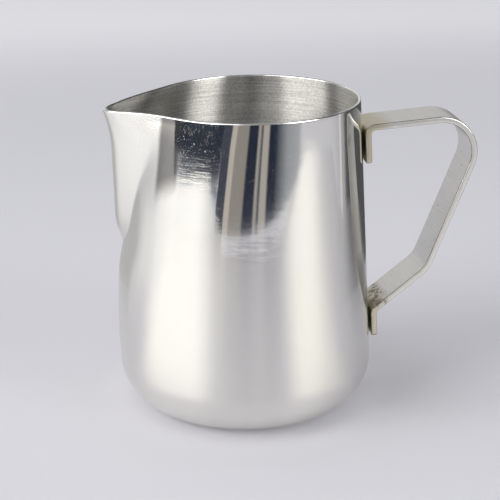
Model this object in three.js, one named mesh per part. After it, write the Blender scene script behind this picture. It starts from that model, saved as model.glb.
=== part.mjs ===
// Milk frothing pitcher: a one-piece pressed stainless cup with a V spout, a bent strap handle
// and the spot welds that hold the handle's two tabs to the cup wall.
// Millimetres, +Z up. The origin is the centre of the base, on the cup's axis. The spout points
// along -X, the handle along +X, and the XZ plane is the plane of symmetry.
import * as THREE from 'three';

// ---- cup: driving dimensions ----
const RIM_HEIGHT = 109.8;         // top of the lip on the handle side
const RIM_RADIUS = 39.5;          // outer radius of the conical wall at RIM_HEIGHT
const WALL_TAPER = 0.0584;        // radius gained per millimetre of depth
const SHOULDER_TANGENT = 16.6;    // from the wall and base corner to each end of the round shoulder
const WALL_THICKNESS = 1.0;

// ---- rim line ----
const RIM_TILT = 0.9;             // the lip falls this much from the handle side to the spout side
const SPOUT_DIP = 2.0;            // extra fall of the lip at the tip of the spout
const SPOUT_DIP_ANGLE = 16;       // degrees from the tip where the extra fall has halved

// ---- spout ----
const SPOUT_REACH = 46.0;         // radius of the ridge where its lip flare starts
const SPOUT_FLARE_START = 92;
const SPOUT_FLARE = 0.0125;       // flare of the lip, per millimetre squared above its start
const RIDGE_SLOPE = 0.022;        // radius lost per millimetre below the flare
const RIDGE_CURL_START = 70;
const RIDGE_CURL = 0.025;         // the foot of the ridge curves in to the wall, per millimetre squared
const RIDGE_CURL_DEPTH = 25;      // below this much curl the ridge is buried in the wall
const RIDGE_ROUNDING = 4.5;       // half width of the rounded ridge
const FLANK_ANGLE_FOOT = 49;      // half angle of the V near the foot, degrees
const FLANK_ANGLE_LIP = 39.5;     // half angle of the V at the lip, degrees
const FLANK_ANGLE_POWER = 5.5;
const FLANK_FOOT_HEIGHT = 66;
const FLANK_LIP_HEIGHT = 107;
const FLANK_FADE = [50, 80];      // degrees from the tip over which the blend dies out
const FILLET_FOOT = 0.3;          // size of the concave blend from a flank to the wall
const FILLET_LIP = 1.6;           // the same at the lip
const FILLET_START = 84;          // height where the blend begins to grow

// ---- wall beside and below the spout ----
const CHEEK_DEPTH = 4.3;          // the wall beside the spout is drawn in this far at the lip
const CHEEK_ANGLE = 38;
const CHEEK_WIDTH = 46;
const CHEEK_FOOT = 60;            // height where the cheeks have died out
const CHEEK_POWER = 1.6;
const BELLY = 1.85;               // bulge of the wall under the spout
const BELLY_FOOT = 14;
const BELLY_TOP = 47;
const BELLY_END = 66;
const BELLY_WIDTH = 30;

// ---- handle ----
const STRAP_WIDTH = 17.4;
const STRAP_THICKNESS = 2.1;
const STRAP_EDGE = 0.35;          // broken edge of the strap
const WELD_GAP = 0.3;             // clearance of a tab from the wall on the centre line
const UPPER_TAB = [86.5, 99.1];   // heights of the end and of the bend of each tab
const LOWER_TAB = [22.0, 31.7];
const TAB_BEND = 2.6;
const GRIP_CORNER = [85.7, 102.7, 12.15];   // x, z and bend radius on the strap's middle line
const KNEE_CORNER = [64.3, 46.8, 10];
const WELD_RADIUS = 2.4;
const WELD_THICKNESS = 0.2;
const UPPER_WELD_HEIGHTS = [90.0, 95.6];
const LOWER_WELD_HEIGHTS = [24.3, 29.6];

// ---- fineness of the faceted surfaces ----
const SHOULDER_STEPS = 8;
const WALL_STEPS = 18;
const LIP_STEPS = 5;
const BEND_STEP = 0.2;            // radians
const SPOUT_STEP_DEGREES = 2.5;
const SPOUT_STEPS = 16;
const CHEEK_STEPS = 6;
const BACK_STEPS = 15;

const polished = new THREE.MeshStandardMaterial({ color: 0xc9cbcd, roughness: 0.16, metalness: 1.0 });
const strapSteel = new THREE.MeshStandardMaterial({ color: 0xc4c2bd, roughness: 0.28, metalness: 1.0 });
const weldSteel = new THREE.MeshStandardMaterial({ color: 0x9a958e, roughness: 0.5, metalness: 1.0 });

const radians = (degrees) => degrees * Math.PI / 180;
const clamp = (value) => Math.min(1, Math.max(0, value));
const smooth = (value) => {
  const t = clamp(value);
  return t * t * (3 - 2 * t);
};
const coneRadius = (z) => RIM_RADIUS + WALL_TAPER * (RIM_HEIGHT - z);

// The lip's height at an angle from the spout's tip, in degrees.
function lipHeight(angle) {
  const tilt = RIM_TILT * (1 + Math.cos(radians(angle))) / 2;
  const dip = SPOUT_DIP / (1 + (angle / SPOUT_DIP_ANGLE) ** 2);
  return RIM_HEIGHT - tilt - dip;
}

// Radius of the spout's ridge, on the plane of symmetry.
function ridgeRadius(z) {
  const flare = SPOUT_FLARE * Math.max(0, z - SPOUT_FLARE_START) ** 2;
  const slope = RIDGE_SLOPE * Math.max(0, SPOUT_FLARE_START - z);
  const buried = Math.min(RIDGE_CURL_DEPTH, Math.max(0, RIDGE_CURL_START - z));
  return SPOUT_REACH + flare - slope - RIDGE_CURL * buried ** 2;
}

// The V of the spout at one height: a hyperbola with the ridge as its rounded tip, in polar form.
function flankRadius(angle, z) {
  const rise = clamp((z - FLANK_FOOT_HEIGHT) / (FLANK_LIP_HEIGHT - FLANK_FOOT_HEIGHT));
  const opening = FLANK_ANGLE_FOOT - (FLANK_ANGLE_FOOT - FLANK_ANGLE_LIP) * rise ** FLANK_ANGLE_POWER;
  const slope = Math.tan(radians(opening));
  const apex = ridgeRadius(z) + RIDGE_ROUNDING / slope;
  const turn = radians(Math.min(angle, 90 - opening));
  const along = Math.cos(turn);
  const across = Math.sin(turn);
  const half = apex * slope * slope * along;
  const square = (slope * along) ** 2 - across ** 2;
  const constant = (apex * slope) ** 2 - RIDGE_ROUNDING ** 2;
  return constant / (half + Math.sqrt(Math.max(0, half * half - square * constant)));
}

// The cone with the cheeks beside the spout and the belly below it.
function drawnRadius(angle, z) {
  const rise = clamp((z - CHEEK_FOOT) / (RIM_HEIGHT - CHEEK_FOOT)) ** CHEEK_POWER;
  const cheek = CHEEK_DEPTH * rise * Math.exp(-(((angle - CHEEK_ANGLE) / CHEEK_WIDTH) ** 2));
  const swell = Math.sin(Math.PI / 2 * clamp((z - BELLY_FOOT) / (BELLY_TOP - BELLY_FOOT)));
  const ends = smooth((z - BELLY_FOOT) / 8) * (1 - smooth((z - BELLY_TOP) / (BELLY_END - BELLY_TOP)));
  const belly = BELLY * swell * ends * Math.exp(-((angle / BELLY_WIDTH) ** 2));
  return coneRadius(z) - cheek + belly;
}

// Outer radius of the cup wall: the larger of wall and spout, with a small concave blend.
function wallRadius(angle, z) {
  const wall = drawnRadius(angle, z);
  const shown = 1 - smooth((angle - FLANK_FADE[0]) / (FLANK_FADE[1] - FLANK_FADE[0]));
  if (shown === 0) {
    return wall;
  }
  const rise = flankRadius(angle, z) - wall;
  const growth = smooth((z - FILLET_START) / (RIM_HEIGHT - FILLET_START));
  const fillet = FILLET_FOOT + (FILLET_LIP - FILLET_FOOT) * growth;
  return wall + shown * (rise + Math.hypot(rise, fillet)) / 2;
}

const WALL_LEAN = Math.atan(WALL_TAPER);
const SHOULDER_TURN = Math.PI / 2 + WALL_LEAN;
const SHOULDER_RADIUS = SHOULDER_TANGENT / Math.tan(SHOULDER_TURN / 2);
const BASE_RADIUS = coneRadius(0) - SHOULDER_TANGENT;
const SHOULDER_TOP = SHOULDER_TANGENT * Math.cos(WALL_LEAN);

// A point of the outer surface. The angle is signed, from the spout's tip; the station runs from
// 0 at the edge of the flat base to 1 at the top of the shoulder and 2 at the foot of the lip.
function outerPoint(angle, station) {
  const size = Math.abs(angle);
  let radius;
  let z;
  if (station < 1) {
    const turn = SHOULDER_TURN * station;
    z = SHOULDER_RADIUS * (1 - Math.cos(turn));
    const swell = drawnRadius(size, z) - coneRadius(z);
    radius = BASE_RADIUS + SHOULDER_RADIUS * Math.sin(turn) + swell;
  } else {
    const top = lipHeight(size) - WALL_THICKNESS / 2;
    z = SHOULDER_TOP + (station - 1) * (top - SHOULDER_TOP);
    radius = wallRadius(size, z);
  }
  return new THREE.Vector3(-radius * Math.cos(radians(angle)), -radius * Math.sin(radians(angle)), z);
}

// The outer surface's normal and its upward direction at the same place.
function outerFrame(angle, station) {
  const turnStep = 0.05;
  const riseStep = 0.001;
  const low = Math.max(0, station - riseStep);
  const high = Math.min(2, station + riseStep);
  const around = outerPoint(angle + turnStep, station).sub(outerPoint(angle - turnStep, station));
  const up = outerPoint(angle, high).sub(outerPoint(angle, low)).normalize();
  const normal = around.cross(up).normalize();
  return { normal, up };
}

function spoutAngles() {
  const half = [0];
  const add = (end, steps) => {
    const start = half[half.length - 1];
    for (let i = 1; i <= steps; i += 1) {
      half.push(start + (end - start) * i / steps);
    }
  };
  add(SPOUT_STEP_DEGREES * SPOUT_STEPS, SPOUT_STEPS);
  add(72, CHEEK_STEPS);
  add(180, BACK_STEPS);
  const mirrored = half.slice(1, -1).reverse().map((angle) => -angle);
  return [...half, ...mirrored];
}

// Rings of the closed skin, from the base outside, over the lip, to the floor inside.
function cupRings() {
  const angles = spoutAngles();
  const stations = [];
  for (let i = 0; i < SHOULDER_STEPS; i += 1) {
    stations.push(i / SHOULDER_STEPS);
  }
  for (let i = 0; i <= WALL_STEPS; i += 1) {
    stations.push(1 + i / WALL_STEPS);
  }
  const outside = stations.map((station) => angles.map((angle) => outerPoint(angle, station)));
  const inside = stations.map((station) => angles.map((angle) => {
    const { normal } = outerFrame(angle, station);
    return outerPoint(angle, station).addScaledVector(normal, -WALL_THICKNESS);
  }));
  const lip = [];
  for (let i = 1; i < LIP_STEPS; i += 1) {
    const turn = Math.PI * i / LIP_STEPS;
    lip.push(angles.map((angle) => {
      const { normal, up } = outerFrame(angle, 2);
      return outerPoint(angle, 2)
        .addScaledVector(normal, WALL_THICKNESS / 2 * (Math.cos(turn) - 1))
        .addScaledVector(up, WALL_THICKNESS / 2 * Math.sin(turn));
    }));
  }
  return [...outside, ...lip, ...inside.reverse()];
}

function cupGeometry() {
  const rings = cupRings();
  const count = rings[0].length;
  const points = rings.flat();
  const basePole = points.length;
  points.push(new THREE.Vector3(0, 0, 0));
  const floorPole = points.length;
  points.push(new THREE.Vector3(0, 0, WALL_THICKNESS));
  const faces = [];
  for (let j = 0; j < count; j += 1) {
    const next = (j + 1) % count;
    const last = (rings.length - 1) * count;
    faces.push(basePole, next, j);
    faces.push(floorPole, last + j, last + next);
    for (let i = 0; i < rings.length - 1; i += 1) {
      const low = i * count;
      const high = low + count;
      faces.push(low + j, low + next, high + next);
      faces.push(low + j, high + next, high + j);
    }
  }
  const geometry = new THREE.BufferGeometry().setFromPoints(points);
  geometry.setIndex(faces);
  geometry.computeVertexNormals();
  return geometry;
}

// Middle line of the strap, in the XZ plane: corners joined by straight runs and round bends.
function strapLine() {
  const tab = (z) => new THREE.Vector2(coneRadius(z) + WELD_GAP + STRAP_THICKNESS / 2, z);
  const corners = [
    { at: tab(UPPER_TAB[1]), bend: TAB_BEND },
    { at: new THREE.Vector2(GRIP_CORNER[0], GRIP_CORNER[1]), bend: GRIP_CORNER[2] },
    { at: new THREE.Vector2(KNEE_CORNER[0], KNEE_CORNER[1]), bend: KNEE_CORNER[2] },
    { at: tab(LOWER_TAB[1]), bend: TAB_BEND },
  ];
  const ends = [tab(UPPER_TAB[0]), tab(LOWER_TAB[0])];
  const path = [ends[0], ...corners.map((corner) => corner.at), ends[1]];
  const line = [ends[0]];
  corners.forEach((corner, i) => {
    const arriving = path[i + 1].clone().sub(path[i]).normalize();
    const leaving = path[i + 2].clone().sub(path[i + 1]).normalize();
    const turn = Math.atan2(arriving.cross(leaving), arriving.dot(leaving));
    const tangent = corner.bend * Math.tan(Math.abs(turn) / 2);
    const start = corner.at.clone().addScaledVector(arriving, -tangent);
    const side = new THREE.Vector2(-arriving.y, arriving.x).multiplyScalar(Math.sign(turn) * corner.bend);
    const centre = start.clone().add(side);
    const steps = Math.ceil(Math.abs(turn) / BEND_STEP);
    for (let k = 0; k <= steps; k += 1) {
      line.push(start.clone().rotateAround(centre, turn * k / steps));
    }
  });
  line.push(ends[1]);
  return line;
}

// The strap's outline: its middle line moved half a thickness to each side.
function strapOutline() {
  const line = strapLine();
  const side = (sign) => line.map((point, i) => {
    const before = line[Math.max(0, i - 1)];
    const after = line[Math.min(line.length - 1, i + 1)];
    const along = after.clone().sub(before).normalize();
    const out = new THREE.Vector2(-along.y, along.x);
    return point.clone().addScaledVector(out, sign * STRAP_THICKNESS / 2);
  });
  return [...side(-1), ...side(1).reverse()];
}

function strapGeometry() {
  return new THREE.ExtrudeGeometry(new THREE.Shape(strapOutline()), {
    depth: STRAP_WIDTH - 2 * STRAP_EDGE,
    bevelThickness: STRAP_EDGE,
    bevelSize: STRAP_EDGE,
    bevelOffset: -STRAP_EDGE,
    bevelSegments: 1,
    curveSegments: 1,
  });
}

const group = new THREE.Group();

const cup = new THREE.Mesh(cupGeometry(), polished);
cup.name = 'pitcher_body';
group.add(cup);

const strap = new THREE.Mesh(strapGeometry(), strapSteel);
strap.name = 'strap_handle';
strap.rotation.x = Math.PI / 2;
strap.position.y = STRAP_WIDTH / 2 - STRAP_EDGE;
group.add(strap);

// Weld nuggets in the gap between each tab and the wall, square to the wall's slope.
function addWeld(name, z) {
  const geometry = new THREE.CylinderGeometry(WELD_RADIUS, WELD_RADIUS, WELD_THICKNESS, 24);
  const weld = new THREE.Mesh(geometry, weldSteel);
  weld.name = name;
  weld.rotation.z = -Math.PI / 2;
  const holder = new THREE.Group();
  holder.rotation.y = -WALL_LEAN;
  holder.position.set(coneRadius(z) + WELD_GAP / 2, 0, z);
  holder.add(weld);
  group.add(holder);
}
UPPER_WELD_HEIGHTS.forEach((z, i) => addWeld(`upper_weld_${i + 1}`, z));
LOWER_WELD_HEIGHTS.forEach((z, i) => addWeld(`lower_weld_${i + 1}`, z));

export default group;
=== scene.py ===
# Milk frothing pitcher: looks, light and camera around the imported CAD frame.
import math

import bmesh
import bpy
import numpy as np
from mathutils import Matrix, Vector


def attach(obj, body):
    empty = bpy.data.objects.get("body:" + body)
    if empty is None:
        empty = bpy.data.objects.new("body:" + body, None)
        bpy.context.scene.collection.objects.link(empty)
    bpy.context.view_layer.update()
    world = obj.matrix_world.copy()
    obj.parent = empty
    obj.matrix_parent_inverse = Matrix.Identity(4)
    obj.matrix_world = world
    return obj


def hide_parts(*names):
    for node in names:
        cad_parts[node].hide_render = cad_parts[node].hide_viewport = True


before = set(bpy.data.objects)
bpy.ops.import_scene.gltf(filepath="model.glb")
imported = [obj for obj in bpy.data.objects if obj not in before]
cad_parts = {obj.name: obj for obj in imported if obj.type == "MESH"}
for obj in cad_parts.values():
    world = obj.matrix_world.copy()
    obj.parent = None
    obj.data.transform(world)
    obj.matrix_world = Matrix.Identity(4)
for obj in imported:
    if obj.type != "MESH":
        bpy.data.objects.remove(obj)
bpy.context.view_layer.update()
MM = 0.001

# ---------------------------------------------------------------- camera
CAMERA_PLACE = (-0.0606, -0.4459, 0.2099)
CAMERA_HEADING = 0.1388    # radians from +Y towards +X
CAMERA_DROP = 0.3333       # radians below the horizon
CAMERA_LENS = 96.5         # mm on a 36 mm sensor


def add_camera():
    data = bpy.data.cameras.new("camera")
    data.lens = CAMERA_LENS
    data.sensor_width = 36.0
    camera = bpy.data.objects.new("camera", data)
    bpy.context.scene.collection.objects.link(camera)
    level = math.cos(CAMERA_DROP)
    ahead = (math.sin(CAMERA_HEADING) * level, math.cos(CAMERA_HEADING) * level, -math.sin(CAMERA_DROP))
    camera.location = CAMERA_PLACE
    camera.rotation_euler = Vector(ahead).to_track_quat("-Z", "Y").to_euler()
    bpy.context.scene.camera = camera


add_camera()

# ---------------------------------------------------------------- cup shape, in millimetres
RIM_HEIGHT = 109.8
RIM_RADIUS = 39.5
WALL_TAPER = 0.0584
SHOULDER_TANGENT = 16.6
WALL_THICKNESS = 1.0
RIM_TILT = 0.9
SPOUT_DIP = 2.0
SPOUT_DIP_ANGLE = 16.0
SPOUT_REACH = 46.0
SPOUT_FLARE_START = 92.0
SPOUT_FLARE = 0.0125
RIDGE_SLOPE = 0.022
RIDGE_CURL_START = 70.0
RIDGE_CURL = 0.025
RIDGE_CURL_DEPTH = 25.0
RIDGE_ROUNDING = 4.5
FLANK_ANGLE_FOOT = 49.0
FLANK_ANGLE_LIP = 39.5
FLANK_ANGLE_POWER = 5.5
FLANK_FOOT_HEIGHT = 66.0
FLANK_LIP_HEIGHT = 107.0
FLANK_FADE = (50.0, 80.0)
FILLET_FOOT = 0.3
FILLET_LIP = 1.6
FILLET_START = 84.0
CHEEK_DEPTH = 4.3
CHEEK_ANGLE = 38.0
CHEEK_WIDTH = 46.0
CHEEK_FOOT = 60.0
CHEEK_POWER = 1.6
BELLY = 1.85
BELLY_FOOT = 14.0
BELLY_TOP = 47.0
BELLY_END = 66.0
BELLY_WIDTH = 30.0

WALL_LEAN = math.atan(WALL_TAPER)
SHOULDER_TURN = math.pi / 2 + WALL_LEAN
SHOULDER_RADIUS = SHOULDER_TANGENT / math.tan(SHOULDER_TURN / 2)


def smooth(value):
    t = np.clip(value, 0.0, 1.0)
    return t * t * (3.0 - 2.0 * t)


def cone_radius(z):
    return RIM_RADIUS + WALL_TAPER * (RIM_HEIGHT - z)


BASE_RADIUS = cone_radius(0.0) - SHOULDER_TANGENT
SHOULDER_TOP = SHOULDER_TANGENT * math.cos(WALL_LEAN)


def lip_height(angle):
    tilt = RIM_TILT * (1.0 + np.cos(np.radians(angle))) / 2.0
    return RIM_HEIGHT - tilt - SPOUT_DIP / (1.0 + (angle / SPOUT_DIP_ANGLE) ** 2)


def ridge_radius(z):
    flare = SPOUT_FLARE * np.maximum(0.0, z - SPOUT_FLARE_START) ** 2
    slope = RIDGE_SLOPE * np.maximum(0.0, SPOUT_FLARE_START - z)
    buried = np.minimum(RIDGE_CURL_DEPTH, np.maximum(0.0, RIDGE_CURL_START - z))
    return SPOUT_REACH + flare - slope - RIDGE_CURL * buried ** 2


def flank_radius(angle, z):
    rise = np.clip((z - FLANK_FOOT_HEIGHT) / (FLANK_LIP_HEIGHT - FLANK_FOOT_HEIGHT), 0.0, 1.0)
    opening = FLANK_ANGLE_FOOT - (FLANK_ANGLE_FOOT - FLANK_ANGLE_LIP) * rise ** FLANK_ANGLE_POWER
    slope = np.tan(np.radians(opening))
    apex = ridge_radius(z) + RIDGE_ROUNDING / slope
    turn = np.radians(np.minimum(angle, 90.0 - opening))
    along = np.cos(turn)
    across = np.sin(turn)
    half = apex * slope * slope * along
    square = (slope * along) ** 2 - across ** 2
    constant = (apex * slope) ** 2 - RIDGE_ROUNDING ** 2
    return constant / (half + np.sqrt(np.maximum(0.0, half * half - square * constant)))


def drawn_radius(angle, z):
    rise = np.clip((z - CHEEK_FOOT) / (RIM_HEIGHT - CHEEK_FOOT), 0.0, 1.0) ** CHEEK_POWER
    cheek = CHEEK_DEPTH * rise * np.exp(-((angle - CHEEK_ANGLE) / CHEEK_WIDTH) ** 2)
    swell = np.sin(np.pi / 2 * np.clip((z - BELLY_FOOT) / (BELLY_TOP - BELLY_FOOT), 0.0, 1.0))
    ends = smooth((z - BELLY_FOOT) / 8.0) * (1.0 - smooth((z - BELLY_TOP) / (BELLY_END - BELLY_TOP)))
    return cone_radius(z) - cheek + BELLY * swell * ends * np.exp(-((angle / BELLY_WIDTH) ** 2))


def wall_radius(angle, z):
    wall = drawn_radius(angle, z)
    rise = flank_radius(angle, z) - wall
    near_lip = smooth((z - FILLET_START) / (RIM_HEIGHT - FILLET_START))
    fillet = FILLET_FOOT + (FILLET_LIP - FILLET_FOOT) * near_lip
    shown = 1.0 - smooth((angle - FLANK_FADE[0]) / (FLANK_FADE[1] - FLANK_FADE[0]))
    return wall + shown * (rise + np.hypot(rise, fillet)) / 2.0


def outer_points(angles, station):
    """One ring of the outer skin: station 0 is the base's edge, 1 the shoulder's top, 2 the lip's foot."""
    size = np.abs(angles)
    if station < 1.0:
        turn = SHOULDER_TURN * station
        z = np.full_like(angles, SHOULDER_RADIUS * (1.0 - math.cos(turn)))
        swell = drawn_radius(size, z) - cone_radius(z)
        radius = BASE_RADIUS + SHOULDER_RADIUS * math.sin(turn) + swell
    else:
        top = lip_height(size) - WALL_THICKNESS / 2.0
        z = SHOULDER_TOP + (station - 1.0) * (top - SHOULDER_TOP)
        radius = wall_radius(size, z)
    return np.stack([-radius * np.cos(np.radians(angles)), -radius * np.sin(np.radians(angles)), z], axis=1)


def unit(vectors):
    return vectors / np.linalg.norm(vectors, axis=1, keepdims=True)


def outer_frame(angles, station):
    """Outward normals and upward directions of a ring of the outer skin."""
    around = outer_points(angles + 0.05, station) - outer_points(angles - 0.05, station)
    low, high = max(0.0, station - 0.001), min(2.0, station + 0.001)
    up = unit(outer_points(angles, high) - outer_points(angles, low))
    return unit(np.cross(around, up)), up


def ring_angles():
    near = np.linspace(0.0, 50.0, 101)
    far = np.linspace(50.0, 180.0, 88)
    half = np.concatenate([near, far[1:]])
    return np.concatenate([half, -half[-2:0:-1]])


BASE_RINGS = 10
SHOULDER_RINGS = 22
WALL_RINGS = 90
LIP_RINGS = 12
OUTSIDE, LIP, INSIDE = 0, 1, 2


def cup_rings():
    """Rings from the middle of the base, up the outside, over the lip and down to the middle of the floor."""
    angles = ring_angles()
    shoulder = [i / SHOULDER_RINGS for i in range(SHOULDER_RINGS)]
    stations = shoulder + [1.0 + i / WALL_RINGS for i in range(WALL_RINGS + 1)]
    edge = outer_points(angles, 0.0)
    shares = [i / BASE_RINGS for i in range(1, BASE_RINGS)]
    rings = [(edge * share, OUTSIDE) for share in shares]
    rings += [(outer_points(angles, station), OUTSIDE) for station in stations]
    foot = outer_points(angles, 2.0)
    normal, up = outer_frame(angles, 2.0)
    half = WALL_THICKNESS / 2.0
    for i in range(1, LIP_RINGS):
        turn = math.pi * i / LIP_RINGS
        rings.append((foot + normal * half * (math.cos(turn) - 1.0) + up * half * math.sin(turn), LIP))
    for station in reversed(stations):
        normal, up = outer_frame(angles, station)
        rings.append((outer_points(angles, station) - normal * WALL_THICKNESS, INSIDE))
    floor = np.array([0.0, 0.0, WALL_THICKNESS])
    rings += [((rings[-1][0] - floor) * share + floor, INSIDE) for share in reversed(shares)]
    return rings


def profile_lengths(rings):
    """Distance along the skin from the middle of the base to each ring, in metres."""
    lengths = [np.linalg.norm(rings[0][:, :2], axis=1)]
    for before, after in zip(rings, rings[1:]):
        lengths.append(lengths[-1] + np.linalg.norm(after - before, axis=1))
    return np.array(lengths) * MM


def build_cup():
    marked = cup_rings()
    rings = [ring for ring, zone in marked]
    zones = [zone for ring, zone in marked]
    count = len(rings[0])
    points = np.concatenate(rings + [np.array([[0.0, 0.0, 0.0], [0.0, 0.0, WALL_THICKNESS]])]) * MM
    base_pole, floor_pole = len(rings) * count, len(rings) * count + 1
    last = (len(rings) - 1) * count
    faces, slots, corner_uvs = [], [], []
    lengths = profile_lengths(rings)
    top = lengths[-1] + np.linalg.norm(rings[-1][:, :2], axis=1) * MM
    for j in range(count):
        k = (j + 1) % count
        u, w = j / count, (j + 1) / count
        faces.append((base_pole, k, j))
        slots.append(OUTSIDE)
        corner_uvs += [(u, 0.0), (w, lengths[0][k]), (u, lengths[0][j])]
        faces.append((floor_pole, last + j, last + k))
        slots.append(INSIDE)
        corner_uvs += [(u, top[j]), (u, lengths[-1][j]), (w, lengths[-1][k])]
    for i in range(len(rings) - 1):
        low, high = i * count, (i + 1) * count
        zone = LIP if LIP in (zones[i], zones[i + 1]) else zones[i]
        for j in range(count):
            k = (j + 1) % count
            u, w = j / count, (j + 1) / count
            faces.append((low + j, low + k, high + k, high + j))
            slots.append(zone)
            corner_uvs += [(u, lengths[i][j]), (w, lengths[i][k])]
            corner_uvs += [(w, lengths[i + 1][k]), (u, lengths[i + 1][j])]
    mesh = bpy.data.meshes.new("cup_skin")
    mesh.from_pydata(points.tolist(), [], faces)
    layer = mesh.uv_layers.new(name="profile")
    layer.data.foreach_set("uv", np.array(corner_uvs, dtype=np.float32).ravel())
    mesh.polygons.foreach_set("material_index", slots)
    mesh.polygons.foreach_set("use_smooth", [True] * len(faces))
    mesh.update()
    cup = bpy.data.objects.new("cup_skin", mesh)
    bpy.context.scene.collection.objects.link(cup)
    return cup


# ---------------------------------------------------------------- strap shape, in millimetres
STRAP_WIDTH = 17.4
STRAP_THICKNESS = 2.1
STRAP_EDGE_RADIUS = 0.55
STRAP_STEP = 0.6                      # spacing of the rings along the strap
TAB_CORNER = 1.0                      # radius of a tab's corners, seen face on
TAB_END_ROUNDING = 0.45               # radius of a tab's end, seen edge on
TAB_END_RINGS = 6
WELD_GAP = 0.3
UPPER_TAB = (86.5, 99.1)
LOWER_TAB = (22.0, 31.7)
TAB_BEND = 2.6
GRIP_CORNER = (85.7, 102.7, 12.15)    # x, z and the radius of the bend
KNEE_CORNER = (64.3, 46.8, 10.0)
BEND_STEPS = 6                        # fewest steps round a bend
WELD_MIDDLES = (26.95, 92.8)          # height between the two spot welds of the lower and the upper tab
WELD_SPREAD = 2.75
DISH_DEPTH = 0.22
DISH_FLOOR = 0.6
DISH_EDGE = 1.9
ARC_STEPS = 6
FLAT_STEPS = 22
CORNER_POINTS = (4, 5, 29, 30, 39, 40, 64, 65)    # where the section's flat faces turn into its edges


def tab_point(z):
    return np.array([cone_radius(z) + WELD_GAP + STRAP_THICKNESS / 2.0, z])


def turned(vector, angle):
    c, s = math.cos(angle), math.sin(angle)
    return np.array([c * vector[0] - s * vector[1], s * vector[0] + c * vector[1]])


def direction(start, end):
    return (end - start) / np.linalg.norm(end - start)


def strap_line():
    """Middle line of the strap in the XZ plane, as points about a step apart."""
    corners = [
        (tab_point(UPPER_TAB[1]), TAB_BEND),
        (np.array(GRIP_CORNER[:2]), GRIP_CORNER[2]),
        (np.array(KNEE_CORNER[:2]), KNEE_CORNER[2]),
        (tab_point(LOWER_TAB[1]), TAB_BEND),
    ]
    path = [tab_point(UPPER_TAB[0])] + [at for at, bend in corners] + [tab_point(LOWER_TAB[0])]
    line = [path[0]]

    def straight(end):
        start = line[-1]
        count = max(1, round(np.linalg.norm(end - start) / STRAP_STEP))
        line.extend(start + (end - start) * i / count for i in range(1, count + 1))

    for i, (at, bend) in enumerate(corners):
        arriving = direction(path[i], at)
        leaving = direction(at, path[i + 2])
        turn = math.atan2(arriving[0] * leaving[1] - arriving[1] * leaving[0], arriving @ leaving)
        start = at - arriving * bend * math.tan(abs(turn) / 2.0)
        centre = start + np.array([-arriving[1], arriving[0]]) * math.copysign(bend, turn)
        straight(start)
        count = max(BEND_STEPS, round(bend * abs(turn) / STRAP_STEP))
        line.extend(centre + turned(start - centre, turn * k / count) for k in range(1, count + 1))
    straight(path[-1])
    return np.array(line)


def strap_section(width, thickness):
    """Closed outline of the strap's section: across the width, and through the thickness."""
    radius = min(STRAP_EDGE_RADIUS, thickness / 2.0 - 0.01)
    reach = width / 2.0 - radius
    points = []
    for sign_y, sign_t, start in ((1, 1, 0.0), (-1, 1, 0.5), (-1, -1, 1.0), (1, -1, 1.5)):
        centre = (sign_y * reach, sign_t * (thickness / 2.0 - radius))
        for k in range(ARC_STEPS + 1):
            turn = math.pi * (start + 0.5 * k / ARC_STEPS)
            points.append((centre[0] + radius * math.cos(turn), centre[1] + radius * math.sin(turn)))
        if sign_y == sign_t:
            sides = [1.0 - 2.0 * i / FLAT_STEPS for i in range(1, FLAT_STEPS)]
            points += [(sign_y * reach * side, sign_t * thickness / 2.0) for side in sides]
    return points


def weld_dish(x, y, z):
    """Depth of the dish that a spot weld leaves in the face of a tab away from the cup."""
    if not 0.0 < x - tab_point(z)[0] < STRAP_THICKNESS:
        return 0.0
    middle = WELD_MIDDLES[0] if z < RIM_HEIGHT / 2.0 else WELD_MIDDLES[1]
    away = math.hypot(y, abs(z - middle) - WELD_SPREAD)
    return DISH_DEPTH * (1.0 - float(smooth((away - DISH_FLOOR) / (DISH_EDGE - DISH_FLOOR))))


def strap_places(length):
    """Distances along the strap that get a ring, each with how far the sides draw in there."""
    turns = [math.pi / 2 * k / TAB_END_RINGS for k in range(TAB_END_RINGS + 1)]
    end = [(TAB_CORNER * (1.0 - math.cos(turn)), TAB_CORNER * (1.0 - math.sin(turn))) for turn in turns]
    middle = [(s, 0.0) for s in length if TAB_CORNER < s < length[-1] - TAB_CORNER]
    return end + middle + [(length[-1] - s, inset) for s, inset in reversed(end)]


def strap_ring(place, inset, length, line, along):
    """Points of the section at one distance along the middle line."""
    x, z = [np.interp(place, length, line[:, axis]) for axis in (0, 1)]
    run, rise = [np.interp(place, length, along[:, axis]) for axis in (0, 1)]
    size = math.hypot(run, rise)
    normal = (-rise / size, run / size)
    short = max(0.0, TAB_END_ROUNDING - min(place, length[-1] - place))
    squeeze = TAB_END_ROUNDING - math.sqrt(TAB_END_ROUNDING ** 2 - short ** 2)
    section = strap_section(STRAP_WIDTH - 2.0 * inset, STRAP_THICKNESS - 2.0 * squeeze)
    ring = [(x + normal[0] * t, y, z + normal[1] * t) for y, t in section]
    return [(px - weld_dish(px, y, pz), y, pz) for px, y, pz in ring]


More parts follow.
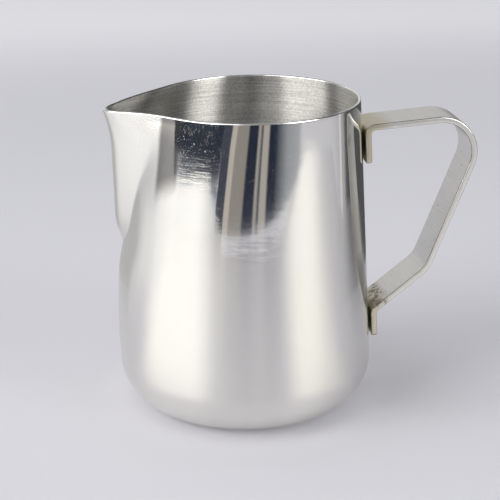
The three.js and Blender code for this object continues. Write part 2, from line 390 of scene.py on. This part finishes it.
def build_strap():
    line = strap_line()
    along = np.gradient(line, axis=0)
    along /= np.linalg.norm(along, axis=1, keepdims=True)
    steps = np.linalg.norm(np.diff(line, axis=0), axis=1)
    length = np.concatenate([[0.0], np.cumsum(steps)])
    places = strap_places(length)
    rings = [strap_ring(place, inset, length, line, along) for place, inset in places]
    points = [Vector(point) * MM for ring in rings for point in ring]
    count = len(rings[0])
    last = (len(rings) - 1) * count
    faces = []
    for low in range(0, last, count):
        for j in range(count):
            k = (j + 1) % count
            faces.append((low + j, low + k, low + count + k, low + count + j))
    faces.append(tuple(reversed(range(count))))
    faces.append(tuple(range(last, last + count)))
    mesh = bpy.data.meshes.new("strap")
    mesh.from_pydata(points, [], faces)
    layer = mesh.uv_layers.new(name="strip")
    corner_uvs = [(places[i // count][0] * MM, i % count / count) for face in faces for i in face]
    layer.data.foreach_set("uv", np.array(corner_uvs, dtype=np.float32).ravel())
    # the corner attribute marks the points where the strap's material paints dark reflection lines
    corner = mesh.attributes.new("corner", "FLOAT", "POINT")
    corner.data.foreach_set("value", [float(i % count in CORNER_POINTS) for i in range(len(points))])
    mesh.polygons.foreach_set("use_smooth", [True] * len(faces))
    mesh.update()
    strap = bpy.data.objects.new("strap", mesh)
    bpy.context.scene.collection.objects.link(strap)
    solid = bmesh.new()
    solid.from_mesh(mesh)
    bmesh.ops.recalc_face_normals(solid, faces=solid.faces)
    solid.to_mesh(mesh)
    solid.free()
    return strap


# ---------------------------------------------------------------- materials
class Graph:
    """One material's node tree, with short ways to add nodes and join them."""

    def __init__(self, name):
        self.material = bpy.data.materials.new(name)
        self.material.use_nodes = True
        self.tree = self.material.node_tree
        self.tree.nodes.clear()
        self.output = self.add("OutputMaterial")

    def add(self, kind, **settings):
        node = self.tree.nodes.new("ShaderNode" + kind)
        for name, value in settings.items():
            setattr(node, name, value)
        return node

    def feed(self, socket, value):
        if isinstance(value, bpy.types.NodeSocket):
            self.tree.links.new(value, socket)
        elif isinstance(value, tuple) and len(value) == 3 and socket.type == "RGBA":
            socket.default_value = (*value, 1.0)
        else:
            socket.default_value = value

    def math(self, operation, first, second=0.0):
        node = self.add("Math", operation=operation)
        self.feed(node.inputs[0], first)
        self.feed(node.inputs[1], second)
        return node.outputs[0]

    def plus(self, first, second):
        return self.math("ADD", first, second)

    def minus(self, first, second):
        return self.math("SUBTRACT", first, second)

    def times(self, first, second):
        return self.math("MULTIPLY", first, second)

    def inverse(self, share):
        return self.minus(1.0, share)

    def centred(self, value, spread):
        """A 0..1 value carried to a spread about zero."""
        return self.times(self.minus(value, 0.5), spread)

    def length(self, first, second):
        return self.math("SQRT", self.plus(self.times(first, first), self.times(second, second)))

    def ease(self, value, low, high, out_low=0.0, out_high=1.0):
        """Smooth step of value from low to high, carried to out_low..out_high."""
        node = self.add("MapRange", interpolation_type="SMOOTHSTEP")
        for socket, amount in zip(node.inputs, (value, low, high, out_low, out_high)):
            self.feed(socket, amount)
        return node.outputs["Result"]

    def until(self, value, start, end):
        """1 before start, 0 past end."""
        return self.ease(value, start, end, 1.0, 0.0)

    def blend(self, share, first, second):
        node = self.add("Mix", data_type="RGBA")
        self.feed(node.inputs[0], share)
        self.feed(node.inputs[6], first)
        self.feed(node.inputs[7], second)
        return node.outputs[2]

    def place(self):
        return self.add("TexCoord").outputs["Object"]

    def parts(self, vector):
        node = self.add("SeparateXYZ")
        self.feed(node.inputs[0], vector)
        return node.outputs

    def noise(self, vector, scale=1.0, detail=2.0, roughness=0.5):
        node = self.add("TexNoise")
        self.feed(node.inputs["Vector"], vector)
        node.inputs["Scale"].default_value = scale
        node.inputs["Detail"].default_value = detail
        node.inputs["Roughness"].default_value = roughness
        return node.outputs["Fac"]

    def drawn_noise(self, vector, scales, detail=2.0, roughness=0.5):
        """Noise with a scale of its own along each axis."""
        node = self.add("VectorMath", operation="MULTIPLY")
        self.feed(node.inputs[0], vector)
        node.inputs[1].default_value = scales
        return self.noise(node.outputs[0], 1.0, detail, roughness)

    def bump(self, height, distance, below=None):
        """Bump of a 0..1 height worth distance metres, on top of the bump below."""
        node = self.add("Bump")
        node.inputs["Strength"].default_value = 1.0
        node.inputs["Distance"].default_value = distance
        self.feed(node.inputs["Height"], height)
        if below is not None:
            self.feed(node.inputs["Normal"], below)
        return node.outputs["Normal"]

    def metal(self, colour, roughness, normal, anisotropy=0.0):
        """Bare metal; anisotropy spreads its highlights up and down the wall."""
        shader = self.add("BsdfPrincipled")
        shader.inputs["Metallic"].default_value = 1.0
        shader.inputs["Anisotropic"].default_value = anisotropy
        self.feed(shader.inputs["Base Color"], colour)
        self.feed(shader.inputs["Roughness"], roughness)
        self.feed(shader.inputs["Normal"], normal)
        if anisotropy:
            shader.inputs["Anisotropic Rotation"].default_value = 0.25
            tangent = self.add("Tangent", direction_type="RADIAL", axis="Z")
            self.feed(shader.inputs["Tangent"], tangent.outputs["Tangent"])
        self.feed(self.output.inputs["Surface"], shader.outputs["BSDF"])
        return shader


# Materials measure heights and distances in metres, and wall angles in radians from the spout's tip.
WINDOW_EDGE = 0.1235    # height of the mirror window's lower edge beside the spout, above the lip: no window
WINDOW_STEPS = (        # wall angles where that edge starts and stops moving, and how far up it moves
    (0.72, 0.81, -0.0300),
    (1.12, 1.27, -0.0235),
    (1.66, 1.98, 0.0340),
    (2.20, 2.31, -0.0260),
)
WINDOW_BLUR = (-0.011, 0.006)    # from satin below the edge to mirror above it
WINDOW_WANDER = 0.008
MIRROR_ROUGHNESS = 0.065
SATIN_ROUGHNESS = 0.258
SATIN_COAT = 0.35
COAT_ROUGHNESS = 0.05
COAT_IOR = 3.0
PALE_STEEL = (0.845, 0.832, 0.790)
DULL_STEEL = (0.785, 0.772, 0.730)
# painted dark reflection: a dark metal colour along the spout's crease stands in for a reflection the wall
# does not give
CREASE_REFLECTION_TINT = (0.17, 0.165, 0.16)


def window_height(graph, place, angle, z):
    """Height above the lower edge of the mirror window, which wanders and frays along the spun rings."""
    wander = graph.centred(graph.noise(place, 38.0, 3.0), WINDOW_WANDER)
    streaks = graph.drawn_noise(place, (150.0, 150.0, 900.0), 3.0, 0.6)
    hairs = graph.drawn_noise(place, (70.0, 70.0, 2400.0), 3.0, 0.7)
    reach = graph.times(graph.ease(angle, 1.12, 1.28, 0.002, 0.026), graph.ease(angle, 1.58, 1.72, 1.0, 0.2))
    brushed = graph.ease(angle, 1.12, 1.28, 0.024, 0.004)
    fray = graph.plus(graph.centred(streaks, reach), graph.centred(hairs, brushed))
    edge = WINDOW_EDGE
    for start, end, rise in WINDOW_STEPS:
        edge = graph.plus(edge, graph.ease(angle, start, end, 0.0, rise))
    return graph.minus(graph.plus(z, graph.plus(wander, fray)), edge)


def crease_reflection_share(graph, angle, z):
    """Share of the painted dark reflection along the crease between the spout and the wall: a dull, dark
    strip of metal colour.
    """
    around = graph.times(graph.ease(angle, 0.56, 0.62), graph.until(angle, 0.80, 0.85))
    return graph.times(around, graph.ease(graph.minus(z, graph.times(angle, 0.02)), 0.066, 0.076))


def outside_steel():
    """Spun wall: a mirror window under the rim on each side, satin with fine rings elsewhere, and a painted
    dark reflection along the spout's crease.
    """
    graph = Graph("steel_outside")
    place = graph.place()
    x, y, z = graph.parts(place)
    angle = graph.math("ARCTAN2", graph.math("ABSOLUTE", y), graph.times(x, -1.0))
    satin = graph.until(window_height(graph, place, angle, z), *WINDOW_BLUR)
    dust = graph.ease(graph.noise(place, 2100.0, 2.0), 0.56, 0.74, 0.0, 0.6)
    satin = graph.plus(satin, graph.times(graph.inverse(satin), dust))
    # strip is the share of the painted dark reflection along the spout's crease; it darkens the colour and
    # takes the coat off there
    strip = crease_reflection_share(graph, angle, z)
    lines = graph.drawn_noise(place, (26.0, 26.0, 3200.0), 3.0, 0.6)
    roughness = graph.ease(satin, 0.0, 1.0, MIRROR_ROUGHNESS, SATIN_ROUGHNESS)
    roughness = graph.plus(roughness, graph.centred(lines, 0.03))
    tint = graph.blend(lines, DULL_STEEL, PALE_STEEL)
    # paint the dark reflection along the spout's crease into the colour
    tint = graph.blend(graph.times(strip, 0.9), tint, CREASE_REFLECTION_TINT)
    specks = graph.ease(graph.noise(place, 1700.0, 1.0), 0.74, 0.80)
    ripple = graph.drawn_noise(place, (45.0, 45.0, 620.0))
    peel = graph.noise(place, 1100.0, 2.0)
    waves = graph.bump(specks, 9.0e-6, graph.bump(ripple, 4.0e-6))
    polished = graph.bump(peel, 6.0e-7, waves)
    shader = graph.metal(tint, roughness, graph.bump(lines, 6.0e-7, polished), 0.90)
    coat = graph.times(graph.ease(satin, 0.0, 1.0, 1.0, SATIN_COAT), graph.inverse(strip))
    graph.feed(shader.inputs["Coat Weight"], coat)
    graph.feed(shader.inputs["Coat Normal"], polished)
    shader.inputs["Coat Roughness"].default_value = COAT_ROUGHNESS
    shader.inputs["Coat IOR"].default_value = COAT_IOR
    return graph.material


def lip_steel():
    """Polished lip with fine nicks."""
    graph = Graph("steel_lip")
    nicks = graph.noise(graph.place(), 700.0, 3.0)
    roughness = graph.ease(nicks, 0.3, 0.8, 0.08, 0.2)
    tint = graph.blend(nicks, (0.80, 0.80, 0.79), (0.88, 0.88, 0.87))
    graph.metal(tint, roughness, graph.bump(nicks, 2.0e-6))
    return graph.material


def inside_steel():
    """Inside of the cup: coarser spun rings that draw every light out into a tall band."""
    graph = Graph("steel_inside")
    place = graph.place()
    lines = graph.drawn_noise(place, (34.0, 34.0, 2100.0), 4.0, 0.8)
    tooth = graph.noise(place, 1600.0, 2.0, 0.7)
    mottle = graph.centred(graph.noise(place, 60.0, 3.0), 0.05)
    roughness = graph.plus(graph.plus(0.34, graph.centred(lines, 0.22)), mottle)
    shade = graph.ease(graph.plus(graph.times(lines, 0.6), graph.times(tooth, 0.4)), 0.34, 0.66)
    tint = graph.blend(shade, (0.56, 0.55, 0.525), (0.96, 0.95, 0.925))
    graph.metal(tint, roughness, graph.bump(lines, 1.0e-5), 1.0)
    return graph.material


HEAT_TINT = (0.55, 0.49, 0.35)
# painted shade: dark brown for the gap between the cup and the strap just above the lower tab
GAP_SHADE_TINT = (0.16, 0.12, 0.08)
# painted dark reflection lines along the strap's corners, where the flat faces turn into the rounded edges
CORNER_REFLECTION_TINT = (0.08, 0.075, 0.065)
PIT_TINT = (0.12, 0.11, 0.10)
DISH_TINT = (0.34, 0.31, 0.27)


def gap_shade_share(graph, place, x, z):
    """Share of the painted shade in the gap between the cup and the strap where it leaves the lower tab,
    mottled with noise.
    """
    near = graph.times(graph.until(z, 0.040, 0.050), graph.ease(z, 0.029, 0.034))
    near = graph.times(graph.until(x, 0.048, 0.057), near)
    return graph.ease(graph.times(graph.noise(place, 520.0, 4.0, 0.75), near), 0.42, 0.60)


def dished(graph, x, y, z):
    """Share of the darker metal in the dishes over the spot welds."""
    middle = graph.ease(z, 0.055, 0.060, WELD_MIDDLES[0] * MM, WELD_MIDDLES[1] * MM)
    apart = graph.minus(graph.math("ABSOLUTE", graph.minus(z, middle)), WELD_SPREAD * MM)
    return graph.times(graph.until(graph.length(y, apart), 0.0010, 0.0021), graph.until(x, 0.050, 0.053))


def strap_steel():
    """Brushed across its width, with pits, painted dark reflection lines along its corners, heat colours by
    the welds and painted shade in the gap above the lower tab.
    """
    graph = Graph("steel_strap")
    place = graph.place()
    x, y, z = graph.parts(place)
    brushing = graph.drawn_noise(place, (1500.0, 60.0, 1500.0), 3.0, 0.75)
    grain = graph.noise(place, 1400.0, 2.0, 0.6)
    cloud = graph.noise(place, 75.0, 3.0)
    pits = graph.ease(graph.noise(place, 560.0, 1.0), 0.76, 0.80)
    # the corner attribute marks where the painted dark reflection lines run
    corner = graph.add("Attribute", attribute_name="corner").outputs["Fac"]
    # painted shade in the gap above the lower tab; it also raises the roughness there
    gap_shade = gap_shade_share(graph, place, x, z)
    roughness = graph.plus(graph.ease(cloud, 0.3, 0.7, 0.29, 0.34), graph.times(brushing, 0.08))
    roughness = graph.plus(roughness, graph.times(gap_shade, 0.2))
    tint = graph.blend(cloud, (0.70, 0.685, 0.655), (0.79, 0.78, 0.76))
    tint = graph.blend(graph.ease(brushing, 0.3, 0.75, 0.0, 0.45), tint, (0.60, 0.59, 0.56))
    tint = graph.blend(graph.times(graph.until(x, 0.044, 0.052), 0.8), tint, HEAT_TINT)
    # paint the shade in the gap above the lower tab
    tint = graph.blend(graph.times(gap_shade, 0.7), tint, GAP_SHADE_TINT)
    # paint the dark reflection lines along the corners
    tint = graph.blend(graph.times(corner, 0.9), tint, CORNER_REFLECTION_TINT)
    tint = graph.blend(pits, tint, PIT_TINT)
    tint = graph.blend(graph.times(dished(graph, x, y, z), 0.5), tint, DISH_TINT)
    skin = graph.bump(graph.inverse(pits), 4.0e-5, graph.bump(grain, 3.0e-6))
    graph.metal(tint, roughness, graph.bump(brushing, 3.0e-6, skin))
    return graph.material


def weld_steel():
    """Rough crust of a spot weld."""
    graph = Graph("steel_weld")
    crust = graph.noise(graph.place(), 1500.0, 4.0, 0.6)
    tint = graph.blend(crust, (0.30, 0.26, 0.22), (0.52, 0.50, 0.47))
    graph.metal(tint, graph.ease(crust, 0.3, 0.7, 0.35, 0.6), graph.bump(crust, 4.0e-5))
    return graph.material


cup = build_cup()
for material in (outside_steel(), lip_steel(), inside_steel()):
    cup.data.materials.append(material)
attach(cup, "root")
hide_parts("pitcher_body")

strap = build_strap()
strap.data.materials.append(strap_steel())
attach(strap, "root")
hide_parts("strap_handle")

weld_material = weld_steel()
for name in ("upper_weld_1", "upper_weld_2", "lower_weld_1", "lower_weld_2"):
    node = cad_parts[name]
    node.data.materials.clear()
    node.data.materials.append(weld_material)


# ---------------------------------------------------------------- stage, in metres
FLOOR_REACH = 6.0
SHEET_LIFT = 0.0005
PAPER_NEAR = (0.755, 0.745, 0.785)
# the middle colour is painted shade, darker where a paper sweep would bend up behind the cup
PAPER_FOLD_SHADE = (0.71, 0.705, 0.74)
PAPER_FAR = (0.93, 0.92, 0.95)


def stage_mesh(name, points, faces, material):
    mesh = bpy.data.meshes.new(name)
    mesh.from_pydata(points, [], faces)
    mesh.materials.append(material)
    piece = bpy.data.objects.new(name, mesh)
    bpy.context.scene.collection.objects.link(piece)
    return piece


def floor_paper():
    """Pale paper with painted shade where a paper sweep would bend up behind the cup, brighter further back,
    and a painted glow of bounced light round the cup's base.
    """
    graph = Graph("floor_paper")
    x, y, z = graph.parts(graph.place())
    # painted shade: the paper darkens from 0.10 to 0.42 m behind the cup, where a sweep would bend up
    fold_shade = graph.ease(y, 0.10, 0.42)
    rise = graph.ease(y, 0.40, 0.84)
    paper = graph.blend(graph.minus(fold_shade, rise), graph.blend(rise, PAPER_NEAR, PAPER_FAR), PAPER_FOLD_SHADE)
    shader = graph.add("BsdfPrincipled")
    graph.feed(shader.inputs["Base Color"], paper)
    # painted light: the paper glows faintly round the cup's base, standing in for light bounced off the steel
    bounce_glow = graph.ease(graph.length(x, y), 0.032, 0.060, 0.11, 0.0)
    graph.feed(shader.inputs["Emission Strength"], bounce_glow)
    shader.inputs["Emission Color"].default_value = (0.98, 0.98, 1.0, 1.0)
    shader.inputs["Roughness"].default_value = 0.6
    shader.inputs["Specular IOR Level"].default_value = 0.0
    graph.feed(graph.output.inputs["Surface"], shader.outputs["BSDF"])
    return graph.material


def polar(azimuth, distance):
    """Floor point in a direction counted from +Y towards +X, in degrees."""
    turn = math.radians(azimuth)
    return (distance * math.sin(turn), distance * math.cos(turn))


def arc(start, end, distance, steps=12):
    return [polar(start + (end - start) * i / steps, distance) for i in range(steps + 1)]


def standing(path, low, high):
    """Lower and upper edge of a card standing on a path of floor points."""
    return [(*place, low) for place in path], [(*place, high) for place in path]


def lying(start, end, near, far, lift=SHEET_LIFT):
    """Near and far edge of a card lying just above the floor, between two directions."""
    return tuple([(*place, lift) for place in arc(start, end, distance)] for distance in (near, far))


def glow(name, stops, across, strength, fade):
    """Material of a card: its colours, and how it fades out towards its edges."""
    graph = Graph(name + "_glow")
    u, v, w = graph.parts(graph.add("UVMap", uv_map="card").outputs["UV"])
    ramp = graph.add("ValToRGB")
    elements = ramp.color_ramp.elements
    elements.remove(elements[0])
    for i, (share, colour) in enumerate(stops):
        stop = elements[0] if i == 0 else elements.new(share)
        stop.position = share
        stop.color = (*colour, 1.0)
    graph.feed(ramp.inputs["Fac"], u if across else v)
    light = graph.add("Emission")
    graph.feed(light.inputs["Color"], ramp.outputs["Color"])
    light.inputs["Strength"].default_value = strength
    seen = 1.0
    for value, share in zip((u, graph.inverse(u), v, graph.inverse(v)), fade):
        if share:
            seen = graph.times(seen, graph.ease(value, 0.0, share))
    mixer = graph.add("MixShader")
    graph.feed(mixer.inputs[0], seen)
    graph.feed(mixer.inputs[1], graph.add("BsdfTransparent").outputs[0])
    graph.feed(mixer.inputs[2], light.outputs[0])
    graph.feed(graph.output.inputs["Surface"], mixer.outputs[0])
    return graph.material


def card(name, edges, stops, strength=1.0, fade=(0.0, 0.0, 0.0, 0.0), across=True):
    """A glowing card between two edges, seen by reflections only.

    Its colours are stops along the edges, or from the first edge to the second. It fades out over
    the shares in fade: at the edges' start, at their end, by the first edge and by the second.
    """
    count = len(edges[0])
    faces = [(i, i + 1, count + i + 1, count + i) for i in range(count - 1)]
    piece = stage_mesh(name, edges[0] + edges[1], faces, glow(name, stops, across, strength, fade))
    layer = piece.data.uv_layers.new(name="card")
    for corner, vertex in zip(layer.data, [index for face in faces for index in face]):
        corner.uv = ((vertex % count) / (count - 1), 1.0 if vertex >= count else 0.0)
    piece.visible_camera = False
    piece.visible_diffuse = False
    piece.visible_shadow = False
    piece.visible_transmission = False
    piece.visible_volume_scatter = False


def area_light(name, place, target, size, power):
    data = bpy.data.lights.new(name, "AREA")
    data.shape = "RECTANGLE"
    data.size, data.size_y = size
    data.energy = power
    light = bpy.data.objects.new(name, data)
    light.location = place
    light.rotation_euler = (Vector(target) - Vector(place)).to_track_quat("-Z", "Y").to_euler()
    light.visible_glossy = False
    bpy.context.scene.collection.objects.link(light)


corners = [(-FLOOR_REACH, -FLOOR_REACH, 0), (FLOOR_REACH, -FLOOR_REACH, 0)]
corners += [(FLOOR_REACH, FLOOR_REACH, 0), (-FLOOR_REACH, FLOOR_REACH, 0)]
stage_mesh("floor", corners, [(0, 1, 2, 3)], floor_paper())

NIGHT = (0.020, 0.026, 0.045)
BEIGE = (0.50, 0.46, 0.42)
DIM_BEIGE = (0.28, 0.26, 0.24)
FAWN = (0.42, 0.39, 0.36)
SLATE = (0.055, 0.062, 0.085)
SMOKE = (0.30, 0.32, 0.35)
ASH = (0.45, 0.46, 0.47)


def plain(*colour):
    return [(0.0, colour)]


# The dark room in front, with the pale uprights that the window mirrors.
ROOM_STOPS = [
    (0.00, SLATE), (0.10, SLATE), (0.115, BEIGE), (0.16, BEIGE), (0.175, DIM_BEIGE), (0.29, DIM_BEIGE),
    (0.31, NIGHT), (0.39, NIGHT), (0.41, FAWN), (0.44, SLATE), (0.455, FAWN), (0.50, FAWN),
    (0.52, NIGHT), (0.58, NIGHT), (0.72, SMOKE), (1.00, ASH),
]
ROOM_LEFT = (-0.32, -0.415)
ROOM_RIGHT = (0.42, -0.415)
card("room_front", standing([ROOM_LEFT, ROOM_RIGHT], 0.013, 0.22), ROOM_STOPS, 1.0, (0.0, 0.12, 0.0, 0.0))

# The end of the pale table on the left, and the dark above it.
TABLE_STOPS = [
    (0.0, (0.95, 0.95, 0.95)), (0.45, (0.75, 0.79, 0.85)), (0.8, (0.40, 0.46, 0.55)),
    (0.95, NIGHT), (1.0, NIGHT),
]
LEFT_PATH = [ROOM_LEFT] + arc(-140, -104, 0.62)
card("left_board", standing(LEFT_PATH, 0.0, 0.055), TABLE_STOPS, across=False)
LEFT_GLOOM = standing(arc(-146, -92, 0.66), 0.048, 0.22)
LEFT_GREY = standing(arc(-96, -60, 0.66), 0.05, 0.22)
card("left_gloom", LEFT_GLOOM, plain(*NIGHT), 1.0, (0.1, 0.15, 0.1, 0.2))
card("left_shade", LEFT_GREY, plain(0.20, 0.20, 0.21), 1.0, (0.0, 0.3, 0.1, 0.2))

# Bright table on both sides, which the lower wall and the spout's faces mirror.
card("left_sheet", lying(-162, -83, 0.060, 0.55), plain(1.0, 0.99, 0.97), 1.2, (0.35, 0.25, 0.10, 0.2))
card("right_sheet", lying(162, 104, 0.060, 0.55), plain(1.0, 0.98, 0.94), 1.0, (0.3, 0.4, 0.10, 0.2))
SPOUT_SHEET = lying(-100, -60, 0.22, 0.60, 3.0 * SHEET_LIFT)
card("spout_sheet", SPOUT_SHEET, plain(1.0, 1.0, 1.0), 1.15, (0.3, 0.3, 0.2, 0.2))

# Softboxes, which draw the tall pale bands on the wall and, from higher up, inside the cup.
WARM = plain(1.0, 0.985, 0.95)
card("left_softbox", standing(arc(-142, -70, 1.3), 0.28, 0.95), WARM, 6.1, (0.28, 0.18, 0.1, 0.1))
card("left_high_box", standing(arc(-153, -106, 1.3), 0.90, 2.20), WARM, 3.0, (0.06, 0.06, 0.1, 0.2))
card("right_softbox", standing(arc(154, 110, 1.3), 0.36, 0.95), WARM, 7.0, (0.25, 0.25, 0.1, 0.1))
card("right_high_box", standing(arc(150, 117, 1.3), 0.90, 2.20), WARM, 3.6, (0.12, 0.06, 0.1, 0.2))

# Shades close to the cup's sides, which darken the wall's edges.
LEFT_SHADE = standing(arc(-66, -14, 0.17), 0.0, 0.13)
RIGHT_SHADE = standing(arc(110, 25, 0.17), 0.0, 0.13)
card("left_near_shade", LEFT_SHADE, plain(0.50, 0.50, 0.51), 1.0, (0.1, 0.2, 0.0, 0.3))
card("right_near_shade", RIGHT_SHADE, plain(0.08, 0.08, 0.085), 1.0, (0.5, 0.1, 0.0, 0.3))

# Dark ceiling and sides, the pale board behind, and a bright slit beside the handle.
GLOOM = plain(0.05, 0.05, 0.05)
card("back_gloom", standing(arc(-30, 70, 1.2), 0.95, 2.20), GLOOM, 1.0, (0.2, 0.2, 0.1, 0.2))
card("side_gloom", standing(arc(104, 50, 1.2), 0.20, 2.20), GLOOM, 1.0, (0.2, 0.2, 0.1, 0.2))
BACK_BOARD = standing(arc(-60, 40, 1.4), 0.08, 0.95)
card("back_board", BACK_BOARD, plain(0.74, 0.74, 0.73), 1.0, (0.2, 0.2, 0.1, 0.1))
card("front_gloom", standing(arc(150, 196, 1.2), 0.70, 2.20), GLOOM, 1.0, (0.1, 0.1, 0.2, 0.2))
RIGHT_GLOOM = standing(arc(84, 40, 0.34), 0.0, 0.25)
RIGHT_STREAK = standing(arc(91, 87, 0.34), 0.0, 0.25)
card("right_gloom", RIGHT_GLOOM, plain(0.13, 0.13, 0.13), 1.0, (0.1, 0.3, 0.0, 0.3))
card("right_streak", RIGHT_STREAK, plain(0.9, 0.88, 0.85), 1.0, (0.2, 0.2, 0.0, 0.3))

area_light("key_light", (-1.9, -0.8, 1.5), (0, 0, 0.02), (1.6, 1.4), 26.0)
area_light("fill_light", (1.5, -1.4, 1.3), (0, 0, 0.05), (0.9, 1.1), 6.0)
area_light("top_light", (-0.2, 0.3, 2.4), (0, 0, 0), (2.0, 2.0), 12.0)

world = bpy.data.worlds.new("studio")
world.use_nodes = True
background = world.node_tree.nodes["Background"]
background.inputs["Color"].default_value = (0.72, 0.73, 0.76, 1.0)
background.inputs["Strength"].default_value = 0.6
bpy.context.scene.world = world
bpy.context.scene.view_settings.view_transform = "Standard"
